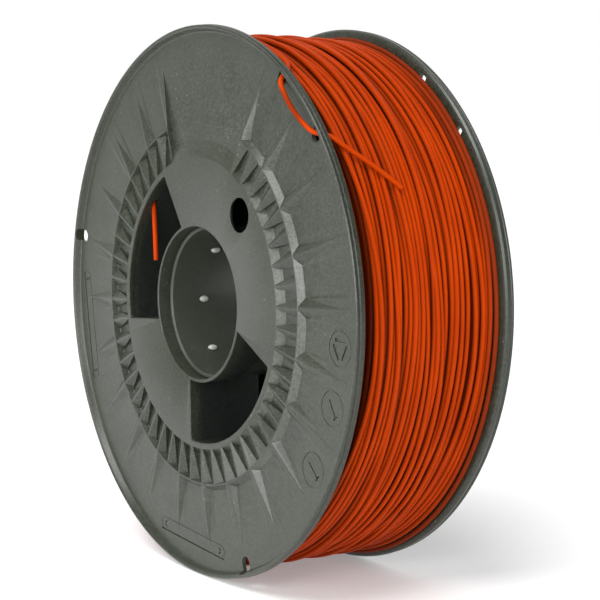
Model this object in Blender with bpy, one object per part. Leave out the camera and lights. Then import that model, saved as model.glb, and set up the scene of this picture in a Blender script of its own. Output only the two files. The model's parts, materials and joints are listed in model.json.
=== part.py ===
"""A full filament spool standing on its rims: two moulded halves pushed together, with the filament
wound on their drum. The axle line runs along Y, +Z is up, and the front face looks towards -Y.

Angles are in degrees round the axle, from +X towards +Z. A depth is the distance in from a half's own
outer face, so one set of numbers draws both halves.
"""

import math

import bmesh
import bpy

MM = 0.001

# Sizes in millimetres
WIDTH = 65.3
RIM_R = 100.0
WALL_INSIDE = 4.0  # depth of the flange's inner face
HUB_R = 53.0  # edge of the flat hub plate
PLATE = 1.6
COLLAR_IN, COLLAR_OUT, COLLAR_LONG = 28.0, 29.4, 12.0
TUBE_IN, TUBE_OUT = 26.4, 27.6
TUBE_START = 4.8  # how deep in the front half's mouth the rear half's tube begins
DRUM_IN, DRUM_OUT = 51.6, 54.0
SPIGOT_IN, SPIGOT_OUT, SPIGOT_DEPTH = 49.7, 51.2, 8.0
GAP = 0.3

GROOVE_FLOOR = 2.5
RING_R = 65.9
RING_FOOT_R, RING_FOOT_DEPTH = 67.8, 2.0
LIP_FOOT_R, LIP_FOOT_DEPTH = 97.4, 2.6
LABEL_FOOT_R, LABEL_FOOT_DEPTH = 59.0, 1.9

SEGMENTS = 72
AXIS_ANGLE = 48.0  # each face is symmetrical about this line
LABEL_FROM, LABEL_TO = 63.0, 108.0
TOOTH_PITCH = 7.5
RAY_PITCH = 15.0

CREST_DEPTH = 0.05
ROOF_SLOPE = 0.66
TOOTH_TIP_HALF, TOOTH_ROOT_HALF = 0.3, 3.6
RAY_TIP_R = 89.0
RAY_LAND = 0.6
THIN = 0.15

WINDOW_CENTRES = (AXIS_ANGLE + 106.0, AXIS_ANGLE - 106.0)
WINDOW_HALF, WINDOW_OFFSET = 30.0, 6.2
WINDOW_IN_R, WINDOW_OUT_R = 29.8, 51.0
RIB, RIB_DEPTH, RIB_BACK = 1.6, 30.0, 0.2
PIN_HOLE_R, PIN_HOLE_AT = 6.1, 44.3

SLOT_ANGLES = (AXIS_ANGLE - 8.3, AXIS_ANGLE + 8.3, AXIS_ANGLE + 120.0, AXIS_ANGLE + 240.0)
SLOT_IN_R, SLOT_OUT_R, SLOT_HALF = 92.6, 98.7, 2.4

WOUND_R = 96.2
WOUND_ROUND = 1.0
FILAMENT_R = 0.875
START_HOLE_ANGLE, START_HOLE_DEPTH, START_HOLE_HALF = 138.8, 5.2, (2.7, 1.5)

AXLE_Z = RIM_R * math.cos(math.pi / SEGMENTS)  # puts the lowest facet of the rims on z = 0

# The filament's inner end, as (x, z, depth) from the axle
INNER_END = (
    (-40.0, 36.1, 5.2),
    (-39.7, 34.7, 5.2),
    (-39.5, 32.5, 5.1),
    (-39.4, 28.0, 5.0),
    (-39.4, 21.0, 4.9),
    (-39.5, 13.5, 4.8),
)

# The filament's outer end, as (radius, angle, depth): off the wound coil, out of one slot, in by the
# next, and over the coil to its cut end
OUTER_TAIL = (
    (97.4, 72.0, 5.3),
    (97.4, 70.0, 5.5),
    (97.4, 68.0, 5.9),
    (97.4, 66.0, 6.7),
    (97.4, 64.0, 7.5),
    (97.4, 62.0, 7.9),
    (97.4, 60.3, 7.6),
    (97.4, 58.9, 6.7),
    (97.2, 57.8, 5.4),
    (96.7, 57.0, 4.0),
    (96.1, 56.4, 2.7),
    (95.4, 55.6, 1.5),
    (94.8, 54.3, 0.7),
    (94.2, 52.2, 0.2),
    (93.8, 50.0, 0.0),
    (93.7, 48.0, -0.1),
    (93.8, 46.0, 0.0),
    (94.2, 43.8, 0.2),
    (94.8, 41.7, 0.7),
    (95.4, 40.4, 1.5),
    (96.1, 39.6, 2.7),
    (96.7, 39.0, 4.1),
    (97.2, 38.4, 5.6),
    (97.4, 37.4, 7.3),
    (97.4, 36.0, 9.5),
    (97.4, 34.2, 12.8),
    (97.4, 32.4, 16.3),
    (97.4, 30.5, 19.8),
    (97.4, 28.5, 23.4),
    (97.4, 26.4, 27.0),
)


def clear_scene():
    for obj in list(bpy.data.objects):
        bpy.data.objects.remove(obj, do_unlink=True)


def plastic(name, color, roughness):
    material = bpy.data.materials.new(name)
    material.use_nodes = True
    shader = material.node_tree.nodes["Principled BSDF"]
    shader.inputs["Base Color"].default_value = (*color, 1.0)
    shader.inputs["Roughness"].default_value = roughness
    return material


def polar(radius, degrees):
    angle = math.radians(degrees)
    return radius * math.cos(angle), radius * math.sin(angle)


def place(x, z, depth, rear=False):
    """A point x, z from the axle and this deep in a half, in metres."""
    y = WIDTH / 2 - depth
    return x * MM, (y if rear else -y) * MM, (z + AXLE_Z) * MM


def along_angle(angle, u, v):
    """x, z of a point u out from the axle at this angle, and v across."""
    out, across = polar(1.0, angle), polar(1.0, angle + 90.0)
    return u * out[0] + v * across[0], u * out[1] + v * across[1]


def add_mesh(name, points, faces, material=None):
    mesh = bpy.data.meshes.new(name)
    mesh.from_pydata(points, [], faces)
    body = bmesh.new()
    body.from_mesh(mesh)
    bmesh.ops.remove_doubles(body, verts=body.verts, dist=1e-7)
    bmesh.ops.dissolve_degenerate(body, edges=body.edges, dist=1e-7)
    bmesh.ops.recalc_face_normals(body, faces=body.faces)
    body.to_mesh(mesh)
    body.free()
    obj = bpy.data.objects.new(name, mesh)
    bpy.context.scene.collection.objects.link(obj)
    if material:
        mesh.materials.append(material)
    return obj


def turned(name, columns, angles, rear, material):
    """A ring-shaped solid. Each column is a closed loop of (radius, depth) at one angle."""
    rows, across = len(columns[0]), len(angles)
    points = []
    for row in range(rows):
        for angle, column in zip(angles, columns):
            radius, depth = column[row]
            points.append(place(*polar(radius, angle), depth, rear))
    faces = []
    for row in range(rows):
        below = (row + 1) % rows
        for i in range(across):
            after = (i + 1) % across
            faces.append((row * across + i, row * across + after, below * across + after, below * across + i))
    return add_mesh(name, points, faces, material)


class Solids:
    """Closed solids gathered into one mesh, for a single Boolean."""

    def __init__(self):
        self.points = []
        self.faces = []

    def prism(self, near, far):
        """A solid between two outlines that have as many points each."""
        first, count = len(self.points), len(near)
        self.points += list(near) + list(far)
        self.faces.append(tuple(first + i for i in range(count)))
        self.faces.append(tuple(first + count + i for i in reversed(range(count))))
        for i in range(count):
            after = (i + 1) % count
            self.faces.append(tuple(first + j for j in (i, count + i, count + after, after)))

    def plate(self, outline, from_depth, to_depth, rear):
        """A prism of this x, z outline between two depths."""
        self.prism(*([place(x, z, depth, rear) for x, z in outline] for depth in (from_depth, to_depth)))

    def apply_to(self, target, operation):
        helper = add_mesh(f"{target.name}_{operation.lower()}", self.points, self.faces)
        helper.hide_render = True
        helper.display_type = "WIRE"
        modifier = target.modifiers.new(operation.title(), "BOOLEAN")
        modifier.operation = operation
        modifier.solver = "EXACT"
        modifier.object = helper


def round_columns():
    """(angle, whether in the label field) of every column of a half, in order."""
    step = 360.0 / SEGMENTS
    columns = []
    for i in range(SEGMENTS):
        angle = (i + 0.5) * step
        if min(abs(angle - LABEL_FROM), abs(angle - LABEL_TO)) > 0.2 * step:
            columns.append((angle, LABEL_FROM < angle < LABEL_TO))
    before = [column for column in columns if column[0] < LABEL_FROM]
    inside = [column for column in columns if column[1]]
    beyond = [column for column in columns if column[0] > LABEL_TO]
    return (
        before
        + [(LABEL_FROM, False), (LABEL_FROM, True)]
        + inside
        + [(LABEL_TO, True), (LABEL_TO, False)]
        + beyond
    )


def face_profile(label):
    """The outer face from the hub plate's edge to the flange's inner face, as (radius, depth)."""
    # Where the ring's inner slope passes through the label field's plane, so that the two profiles
    # share a point there and the step between them has no face that crosses itself
    shared = (RING_R - 0.75, LABEL_FOOT_DEPTH + 0.05)
    if label:
        relief = [
            (HUB_R, 0.0),
            (HUB_R + 2.0, 0.5),
            (LABEL_FOOT_R, LABEL_FOOT_DEPTH),
            shared,
            (RING_R - 0.1, LABEL_FOOT_DEPTH + 0.06),
            (RING_R + 0.5, LABEL_FOOT_DEPTH + 0.07),
            (RING_FOOT_R, RING_FOOT_DEPTH),
        ]
    else:
        relief = [
            (HUB_R, 0.0),
            (HUB_R + 2.4, GROOVE_FLOOR),
            (RING_R - 0.9, GROOVE_FLOOR),
            shared,
            (RING_R - 0.2, 0.0),
            (RING_R + 0.3, 0.0),
            (RING_FOOT_R, RING_FOOT_DEPTH),
        ]
    return relief + [
        (LIP_FOOT_R, LIP_FOOT_DEPTH),
        (98.2, 0.6),
        (98.7, 0.0),
        (99.6, 0.0),
        (RIM_R, 0.4),
        (RIM_R, 2.3),
        (98.6, WALL_INSIDE),
    ]


def ridge_section(angle, radius, rear, sides, heights, halves):
    """One cross-section of a ridge. `sides` says which flanks it keeps, towards lower and higher angles."""
    outline = []
    for sign, kept in zip((-1.0, 1.0), sides):
        flank = [(sign * (half if kept else THIN), depth) for half, depth in zip(halves, heights)]
        if not kept:
            flank = [flank[0], (sign * THIN, (heights[0] + heights[2]) / 2), flank[2]]
        outline += flank if sign > 0 else flank[::-1]
    return [place(*along_angle(angle, radius, v), depth, rear) for v, depth in outline]


def add_tooth(solids, angle, rear, sides):
    """A roof-shaped tooth, pointed at the hub plate and as wide as its pitch at the ring."""
    sections = []
    for radius, half in ((HUB_R - 0.4, TOOTH_TIP_HALF), (RING_R - 0.1, TOOTH_ROOT_HALF)):
        eaves = CREST_DEPTH + ROOF_SLOPE * (half - 0.2)
        sections.append(ridge_section(angle, radius, rear, sides, (CREST_DEPTH, eaves, 3.2), (0.2, half, half)))
    solids.prism(*sections)


def add_ray(solids, angle, rear, sides):
    """A ray that runs down from the ring to its tip on the flange."""
    face_slope = (LIP_FOOT_DEPTH - RING_FOOT_DEPTH) / (LIP_FOOT_R - RING_FOOT_R)
    tip_depth = RING_FOOT_DEPTH + face_slope * (RAY_TIP_R - RING_FOOT_R)
    fall = (tip_depth - CREST_DEPTH) / (RAY_TIP_R - RING_R)
    sections = []
    for radius, land in ((RING_R + 0.1, RAY_LAND), (RAY_TIP_R + 4.0, 0.2)):
        top = CREST_DEPTH + fall * (radius - RING_R)
        half = land + (3.2 - top) / ROOF_SLOPE
        sections.append(ridge_section(angle, radius, rear, sides, (top, 3.2, 3.4), (land, half, half)))
    solids.prism(*sections)


def add_ridges(solids, rear):
    """Teeth and rays all round but for the label field, where the two end ones have a sheer side."""
    span = LABEL_FROM + 360.0 - LABEL_TO
    for pitch, add in ((TOOTH_PITCH, add_tooth), (RAY_PITCH, add_ray)):
        last = round(span / pitch)
        for i in range(last + 1):
            add(solids, LABEL_TO + i * pitch, rear, (i > 0, i < last))


def window_reach(radius, offset=WINDOW_OFFSET):
    """Half the angle that a window spans at a radius: its straight edges pass this far from the axle."""
    return WINDOW_HALF + math.degrees(math.asin(offset / radius))


def window_outline(centre):
    outline = []
    for radius, sign in ((WINDOW_OUT_R, 1.0), (WINDOW_IN_R, -1.0)):
        for i in range(9):
            outline.append(polar(radius, centre + sign * window_reach(radius) * (i / 4.0 - 1.0)))
    return outline


def add_ribs(solids, centre, rear, from_r, to_r):
    """Plates that run inwards just behind a window's two straight edges."""
    near, far = WINDOW_OFFSET + RIB_BACK, WINDOW_OFFSET + RIB_BACK + RIB
    for sign in (1.0, -1.0):
        outline = [
            polar(radius, centre + sign * window_reach(radius, offset))
            for radius, offset in ((from_r, near), (to_r, near), (to_r, far), (from_r, far))
        ]
        solids.plate(outline, 0.8, RIB_DEPTH, rear)


def slot_outline(angle):
    """A filament slot: round at its inner end, and running out into the lip."""
    middle = SLOT_IN_R + SLOT_HALF
    outline = []
    for i in range(9):
        u, v = polar(SLOT_HALF, 90.0 + 22.5 * i)
        outline.append((middle + u, v))
    for u, v in ((-1.0, -SLOT_HALF), (0.0, 1.0 - SLOT_HALF), (0.0, SLOT_HALF - 1.0), (-1.0, SLOT_HALF)):
        outline.append((SLOT_OUT_R + u, v))
    return [along_angle(angle, u, v) for u, v in outline]


def add_start_hole(solids):
    """The hole through the drum by which the filament's inner end comes in."""
    ends = []
    for radius in (DRUM_IN - 1.5, DRUM_OUT + 1.5):
        ring = []
        for i in range(16):
            v, w = polar(1.0, 22.5 * i)
            x, z = along_angle(START_HOLE_ANGLE, radius, v * START_HOLE_HALF[0])
            ring.append(place(x, z, START_HOLE_DEPTH + w * START_HOLE_HALF[1]))
        ends.append(ring)
    solids.prism(*ends)


def build_half(name, inner_profile, rear, rib_span, material):
    columns = round_columns()
    profiles = [face_profile(label) + inner_profile for _, label in columns]
    half = turned(name, profiles, [angle for angle, _ in columns], rear, material)
    added, cut = Solids(), Solids()
    add_ridges(added, rear)
    for centre in WINDOW_CENTRES:
        add_ribs(added, centre, rear, *rib_span)
        cut.plate(window_outline(centre), -1.0, PLATE + 1.0, rear)
    for angle in SLOT_ANGLES:
        cut.plate(slot_outline(angle), -1.0, WALL_INSIDE + 1.0, rear)
    pin_hole = along_angle(AXIS_ANGLE, PIN_HOLE_AT, 0.0)
    circle = [polar(PIN_HOLE_R, 15.0 * i) for i in range(24)]
    cut.plate([(pin_hole[0] + x, pin_hole[1] + z) for x, z in circle], -1.0, PLATE + 1.0, rear)
    if not rear:
        add_start_hole(cut)
    added.apply_to(half, "UNION")
    cut.apply_to(half, "DIFFERENCE")


def build_halves(material):
    drum_end = WIDTH - WALL_INSIDE - GAP
    front_inside = [
        (DRUM_OUT, WALL_INSIDE),
        (DRUM_OUT, drum_end),
        (DRUM_IN, drum_end),
        (DRUM_IN, PLATE),
        (COLLAR_OUT, PLATE),
        (COLLAR_OUT, COLLAR_LONG),
        (COLLAR_IN, COLLAR_LONG),
        (COLLAR_IN, 0.2),
        (COLLAR_IN + 0.2, 0.0),
    ]
    rear_inside = [
        (SPIGOT_OUT, WALL_INSIDE),
        (SPIGOT_OUT, SPIGOT_DEPTH),
        (SPIGOT_IN, SPIGOT_DEPTH),
        (SPIGOT_IN, PLATE),
        (TUBE_OUT, PLATE),
        (TUBE_OUT, WIDTH - TUBE_START),
        (TUBE_IN, WIDTH - TUBE_START),
        (TUBE_IN, 0.2),
        (TUBE_IN + 0.2, 0.0),
    ]
    build_half("front_half", front_inside, False, (COLLAR_OUT - 0.5, DRUM_IN + 0.5), material)
    build_half("rear_half", rear_inside, True, (TUBE_OUT - 0.5, SPIGOT_IN + 0.5), material)


def build_winding(material):
    inside, outside = WALL_INSIDE + GAP, WIDTH - WALL_INSIDE - GAP
    shoulder = WOUND_R - WOUND_ROUND
    profile = [
        (DRUM_OUT + GAP, inside),
        (shoulder, inside),
        (WOUND_R, inside + WOUND_ROUND),
        (WOUND_R, outside - WOUND_ROUND),
        (shoulder, outside),
        (DRUM_OUT + GAP, outside),
    ]
    angles = [(i + 0.5) * 360.0 / SEGMENTS for i in range(SEGMENTS)]
    turned("filament_winding", [profile] * SEGMENTS, angles, False, material)


def build_strand(name, points, material):
    curve = bpy.data.curves.new(name, "CURVE")
    curve.dimensions = "3D"
    curve.bevel_depth = FILAMENT_R * MM
    curve.bevel_resolution = 2
    curve.use_fill_caps = True
    spline = curve.splines.new("POLY")
    spline.points.add(len(points) - 1)
    for point, position in zip(spline.points, points):
        point.co = (*position, 1.0)
    curve.materials.append(material)
    bpy.context.scene.collection.objects.link(bpy.data.objects.new(name, curve))


def main():
    clear_scene()
    grey = plastic("grey_plastic", (0.118, 0.123, 0.107), 0.45)
    orange = plastic("orange_filament", (0.75, 0.085, 0.005), 0.35)
    build_halves(grey)
    build_winding(orange)
    build_strand("filament_inner_end", [place(*point) for point in INNER_END], orange)
    tail = [place(*polar(radius, angle), depth) for radius, angle, depth in OUTER_TAIL]
    build_strand("filament_outer_tail", tail, orange)


main()
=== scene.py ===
"""Looks of the filament spool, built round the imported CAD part."""

import json
import math

import bmesh
import bpy
import numpy as np
from mathutils import Matrix, Vector


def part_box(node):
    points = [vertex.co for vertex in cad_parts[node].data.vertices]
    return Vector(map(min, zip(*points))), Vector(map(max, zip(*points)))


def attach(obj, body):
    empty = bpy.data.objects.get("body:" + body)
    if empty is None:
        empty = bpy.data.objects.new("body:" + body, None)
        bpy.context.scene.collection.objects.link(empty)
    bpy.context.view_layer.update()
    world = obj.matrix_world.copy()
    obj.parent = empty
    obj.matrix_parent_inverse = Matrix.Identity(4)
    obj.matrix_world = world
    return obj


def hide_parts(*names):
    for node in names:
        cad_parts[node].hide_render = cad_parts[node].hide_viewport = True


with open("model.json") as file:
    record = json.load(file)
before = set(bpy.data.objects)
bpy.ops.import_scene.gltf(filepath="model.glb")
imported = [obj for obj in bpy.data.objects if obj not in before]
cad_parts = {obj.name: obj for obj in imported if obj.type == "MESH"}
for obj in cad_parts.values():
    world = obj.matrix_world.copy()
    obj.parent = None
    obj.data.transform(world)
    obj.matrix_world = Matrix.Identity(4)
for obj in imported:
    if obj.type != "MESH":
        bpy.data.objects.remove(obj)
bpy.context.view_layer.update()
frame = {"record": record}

# Sizes are in mm. Names that end in _M are in metres.
MM = 0.001
HALF_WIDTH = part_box("rear_half")[1].y / MM
AXLE = next(mount for mount in frame["record"]["mounts"] if mount["name"] == "axle_bore")
AXLE_Z = AXLE["pos_m"][2] / MM
# Edges that bend by more than this stay sharp in smooth shading.
SHARP = math.radians(32.0)
WELD_M = 1e-7
# How far cutters stand out over the face
CLEAR = 1.0
WHITE = (1.0, 1.0, 1.0, 1.0)


# ---------------------------------------------------------------- small helpers

def polar(radius, degrees):
    """x, z of a point at this radius, with the angle counted from +X towards +Z."""
    angle = math.radians(degrees)
    return radius * math.cos(angle), radius * math.sin(angle)


def along_angle(angle, u, v):
    """x, z of a point u out from the axle at this angle, and v across."""
    out, across = polar(1.0, angle), polar(1.0, angle + 90.0)
    return u * out[0] + v * across[0], u * out[1] + v * across[1]


def place(x, z, depth, rear=False):
    """A point x, z from the axle and this deep in a half, in metres."""
    y = HALF_WIDTH - depth
    return x * MM, (y if rear else -y) * MM, (z + AXLE_Z) * MM


def eased(t):
    return t * t * (3 - 2 * t)


def rounded(points, radii, steps=4):
    """A closed outline with its corners rounded. A radius of 0 keeps the corner as one point."""
    most = 0.49  # of a side, so that two corners never meet
    outline = []
    count = len(points)
    for i, (corner, radius) in enumerate(zip(points, radii)):
        if radius == 0:
            outline.append(tuple(corner))
            continue
        here = Vector(corner)
        before, after = Vector(points[i - 1]) - here, Vector(points[(i + 1) % count]) - here
        half = before.angle(after) / 2.0
        reach = min(radius / math.tan(half), most * before.length, most * after.length)
        start, end = here + before.normalized() * reach, here + after.normalized() * reach
        for k in range(steps + 1):
            t = k / steps
            curve = start * (1 - t) ** 2 + here * 2 * t * (1 - t) + end * t ** 2
            outline.append(tuple(curve))
    return outline


def add_object(name, data):
    obj = bpy.data.objects.new(name, data)
    bpy.context.scene.collection.objects.link(obj)
    return obj


def add_mesh(name, points, faces, material=None, smooth=True):
    """A new mesh object from points in metres, welded and with its faces turned outwards."""
    mesh = bpy.data.meshes.new(name)
    mesh.from_pydata(points, [], faces)
    body = bmesh.new()
    body.from_mesh(mesh)
    bmesh.ops.remove_doubles(body, verts=body.verts, dist=WELD_M)
    bmesh.ops.recalc_face_normals(body, faces=body.faces)
    body.to_mesh(mesh)
    body.free()
    obj = add_object(name, mesh)
    if material:
        mesh.materials.append(material)
    if smooth:
        smooth_shaded(mesh)
    return obj


def smooth_shaded(mesh):
    mesh.polygons.foreach_set("use_smooth", [True] * len(mesh.polygons))
    mesh.set_sharp_from_angle(angle=SHARP)


def combine(target, helpers):
    """Applies a Boolean for each (helper, operation) to the target, and removes the helpers."""
    for helper, operation in helpers:
        modifier = target.modifiers.new(helper.name, "BOOLEAN")
        modifier.operation = operation
        modifier.solver = "MANIFOLD"
        modifier.object = helper
    bpy.context.view_layer.update()
    graph = bpy.context.evaluated_depsgraph_get()
    result = bpy.data.meshes.new_from_object(target.evaluated_get(graph))
    target.modifiers.clear()
    target.data = result
    for helper, _ in helpers:
        bpy.data.objects.remove(helper, do_unlink=True)
    smooth_shaded(result)


class Solids:
    """Closed solids gathered into one mesh."""

    def __init__(self, name):
        self.name = name
        self.points = []
        self.faces = []

    def join_rows(self, here, after, count):
        """Quads between two closed rows of as many points, which start at these two."""
        for i in range(count):
            k = (i + 1) % count
            self.faces.append((here + i, after + i, after + k, here + k))

    def loft(self, sections):
        """A solid through outlines that have as many points each."""
        first, count = len(self.points), len(sections[0])
        for section in sections:
            self.points += list(section)
        last = first + count * (len(sections) - 1)
        self.faces.append(tuple(first + i for i in range(count)))
        self.faces.append(tuple(last + i for i in reversed(range(count))))
        for start in range(first, last, count):
            self.join_rows(start, start + count, count)

    def plate(self, outline, from_depth, to_depth, rear):
        depths = (from_depth, to_depth)
        self.loft([[place(x, z, depth, rear) for x, z in outline] for depth in depths])

    def groove(self, inner, outer, depth, rear):
        """A closed band between two outlines, cut to this depth."""
        first, count = len(self.points), len(inner)
        for outline, level in ((inner, -CLEAR), (outer, -CLEAR), (outer, depth), (inner, depth)):
            self.points += [place(x, z, level, rear) for x, z in outline]
        for row in range(4):
            self.join_rows(first + row * count, first + (row + 1) % 4 * count, count)

    def build(self):
        return add_mesh(self.name, self.points, self.faces, smooth=False)


# ---------------------------------------------------------------- camera, floor and light

# The camera fitted to the photo: where it stands, how far it is turned, and its lens
CAMERA_AT_M = (0.5433, -0.35128, 0.16077)
CAMERA_AZIMUTH, CAMERA_ELEVATION = 56.1836, 5.4309
CAMERA_LENS, CAMERA_SENSOR = 104.61, 36.0

FACE_MIDDLE_M = (0.0, -0.03, 0.1)
FLOOR_HALF_M, FLOOR_Z_M = 30.0, -0.0001
# About the way the camera looks, and how bright the room is by how nearly one faces that way
BEHIND = (-0.75, 0.66, 0.0)
ROOM_GLOW = {"From Min": 0.1, "From Max": 0.65, "To Min": 0.24, "To Max": 1.0}


def add_camera():
    azimuth, elevation = math.radians(CAMERA_AZIMUTH), math.radians(CAMERA_ELEVATION)
    right = Vector((math.cos(azimuth), math.sin(azimuth), 0.0))
    back = Vector((
        math.sin(azimuth) * math.cos(elevation),
        -math.cos(azimuth) * math.cos(elevation),
        math.sin(elevation),
    ))
    up = back.cross(right)
    camera = add_object("camera", bpy.data.cameras.new("camera"))
    camera.data.lens = CAMERA_LENS
    camera.data.sensor_width = CAMERA_SENSOR
    camera.data.clip_end = 20.0
    pose = Matrix((right, up, back)).transposed().to_4x4()
    pose.translation = CAMERA_AT_M
    camera.matrix_world = pose
    bpy.context.scene.camera = camera


def add_light(name, kind, power, towards, **settings):
    """A light, turned so that `towards` points back to it from what it lights."""
    light = bpy.data.lights.new(name, kind)
    light.energy = power
    for key, value in settings.items():
        setattr(light, key, value)
    obj = add_object(name, light)
    obj.rotation_euler = Vector(towards).to_track_quat("Z", "Y").to_euler()
    return obj


def add_panel(name, location, size, power):
    """A square soft box that faces the front face. Its place and size are in metres."""
    towards = Vector(location) - Vector(FACE_MIDDLE_M)
    add_light(name, "AREA", power, towards, size=size).location = location


def add_world():
    """A room that is bright behind the spool and dim before it, and plain white to the camera."""
    world = bpy.data.worlds.new("studio")
    world.use_nodes = True
    tree = world.node_tree
    new, link = tree.nodes.new, tree.links.new
    glow, backdrop = tree.nodes["Background"], new("ShaderNodeBackground")
    for background in (glow, backdrop):
        background.inputs["Color"].default_value = WHITE
    backdrop.inputs["Strength"].default_value = 1.0
    behind = new("ShaderNodeVectorMath")
    behind.operation = "DOT_PRODUCT"
    behind.inputs[1].default_value = BEHIND
    strength = new("ShaderNodeMapRange")
    for key, number in ROOM_GLOW.items():
        strength.inputs[key].default_value = number
    choose = new("ShaderNodeMixShader")
    link(new("ShaderNodeTexCoord").outputs["Generated"], behind.inputs[0])
    link(behind.outputs["Value"], strength.inputs["Value"])
    link(strength.outputs["Result"], glow.inputs["Strength"])
    link(new("ShaderNodeLightPath").outputs["Is Camera Ray"], choose.inputs["Fac"])
    link(glow.outputs["Background"], choose.inputs[1])
    link(backdrop.outputs["Background"], choose.inputs[2])
    link(choose.outputs["Shader"], tree.nodes["World Output"].inputs["Surface"])
    bpy.context.scene.world = world
    bpy.context.scene.view_settings.view_transform = "Standard"


def add_floor():
    material = bpy.data.materials.new("floor")
    material.use_nodes = True
    inputs = material.node_tree.nodes["Principled BSDF"].inputs
    inputs["Base Color"].default_value = (0.76, 0.76, 0.76, 1.0)
    inputs["Roughness"].default_value = 0.8
    inputs["Specular IOR Level"].default_value = 0.1
    inputs["Emission Color"].default_value = WHITE
    inputs["Emission Strength"].default_value = 0.25
    signs = ((-1, -1), (1, -1), (1, 1), (-1, 1))
    corners = [(x * FLOOR_HALF_M, y * FLOOR_HALF_M, FLOOR_Z_M) for x, y in signs]
    floor = add_mesh("floor", corners, [(0, 1, 2, 3)], material, smooth=False)


def add_stage():
    """The room, the floor, a key light overhead, and soft boxes in front and by the camera."""
    add_world()
    add_floor()
    add_light("key", "SUN", 2.5, (0.22, -0.45, 0.86), angle=math.radians(32.0))
    add_panel("front_box", (-0.09, -1.05, 0.18), 0.58, 8.5)
    add_panel("soft_box", (0.80, -0.80, 0.40), 0.55, 9.0)


# ---------------------------------------------------------------- materials

# Linear colours
# Of the plastic's colours, the slope, hollow, bore and bump ones are a painted highlight, painted
# shade, painted light and painted glints.
GREY = {
    "dark": (0.010, 0.014, 0.008), "light": (0.022, 0.026, 0.017), "mottle": (0.042, 0.047, 0.034),
    "mark": (0.22, 0.23, 0.20), "painted_slope_highlight": (0.12, 0.125, 0.11), "painted_hollow_shade": (0.006, 0.008, 0.010),
    "bore": (0.048, 0.052, 0.041), "bump": (0.42, 0.43, 0.40),
}
# Of the strand's colours, the rear side one is painted light, and the front side, lower layer, gap
# and both flange ones are painted shade.
ORANGE = {
    "crown": (0.375, 0.031, 0.0002), "pale_crown": (0.43, 0.039, 0.0002),
    "painted_rear_side_light": (0.30, 0.006, 0.0003), "painted_front_side_shade": (0.27, 0.025, 0.0008),
    "lower_layer": (0.05, 0.005, 0.0008), "gap": (0.085, 0.009, 0.0006),
    "rear_flange_shade": (0.10, 0.016, 0.005), "front_flange_shade": (0.07, 0.008, 0.001),
}


class Nodes:
    """Short ways to write a material's nodes."""

    def __init__(self, name):
        self.material = bpy.data.materials.new(name)
        self.material.use_nodes = True
        self.tree = self.material.node_tree
        self.shader = self.tree.nodes["Principled BSDF"].inputs

    def node(self, kind, **settings):
        made = self.tree.nodes.new(kind)
        for key, value in settings.items():
            setattr(made, key, value)
        return made

    def feed(self, socket, value):
        if isinstance(value, bpy.types.NodeSocket):
            self.tree.links.new(value, socket)
        else:
            socket.default_value = value

    def math(self, operation, a, b=0.0, clamp=False):
        made = self.node("ShaderNodeMath", operation=operation, use_clamp=clamp)
        self.feed(made.inputs[0], a)
        self.feed(made.inputs[1], b)
        return made.outputs[0]

    def product(self, first, *others):
        for other in others:
            first = self.math("MULTIPLY", first, other)
        return first

    def noise(self, vector, scale, detail=2.0, rough=0.5):
        made = self.node("ShaderNodeTexNoise")
        self.feed(made.inputs["Vector"], vector)
        made.inputs["Scale"].default_value = scale
        made.inputs["Detail"].default_value = detail
        made.inputs["Roughness"].default_value = rough
        return made.outputs["Fac"]

    def ramp(self, value, low, high, to_low=0.0, to_high=1.0):
        """A smooth step from to_low to to_high, as the value goes from low to high."""
        made = self.node("ShaderNodeMapRange", interpolation_type="SMOOTHSTEP")
        self.feed(made.inputs["Value"], value)
        edges = {"From Min": low, "From Max": high, "To Min": to_low, "To Max": to_high}
        for key, number in edges.items():
            made.inputs[key].default_value = number
        return made.outputs["Result"]

    def ramp_mm(self, value, low, high, to_low=0.0, to_high=1.0):
        """A ramp over a distance, with its ends in mm."""
        return self.ramp(value, low * MM, high * MM, to_low, to_high)

    def band(self, value, rise, fall, after=0.0):
        """1 between two ramps over a distance, 0 before the first and `after` past the second."""
        return self.product(self.ramp_mm(value, *rise), self.ramp_mm(value, *fall, 1.0, after))

    def mix(self, share, a, b):
        made = self.node("ShaderNodeMix", data_type="RGBA")
        self.feed(made.inputs["Factor"], share)
        sockets = [socket for socket in made.inputs if socket.type == "RGBA"]
        for socket, value in zip(sockets, (a, b)):
            self.feed(socket, value if isinstance(value, bpy.types.NodeSocket) else (*value, 1.0))
        return next(socket for socket in made.outputs if socket.type == "RGBA")

    def bump(self, height, strength, distance_m):
        made = self.node("ShaderNodeBump")
        self.feed(made.inputs["Height"], height)
        made.inputs["Strength"].default_value = strength
        made.inputs["Distance"].default_value = distance_m
        return made.outputs["Normal"]

    def position(self):
        return self.node("ShaderNodeTexCoord").outputs["Object"]

    def parts(self, vector):
        made = self.node("ShaderNodeSeparateXYZ")
        self.feed(made.inputs[0], vector)
        return made.outputs

    def from_axle(self, x, z):
        """Distance from the axle, in metres."""
        above = self.math("SUBTRACT", z, AXLE_Z * MM)
        squares = self.math("ADD", self.math("POWER", x, 2.0), self.math("POWER", above, 2.0))
        return self.math("SQRT", squares)

    def stretched(self, vector, scale, turn=(0.0, 0.0, 0.0)):
        made = self.node("ShaderNodeMapping")
        self.feed(made.inputs["Vector"], vector)
        made.inputs["Rotation"].default_value = turn
        made.inputs["Scale"].default_value = scale
        return made.outputs["Vector"]


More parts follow.
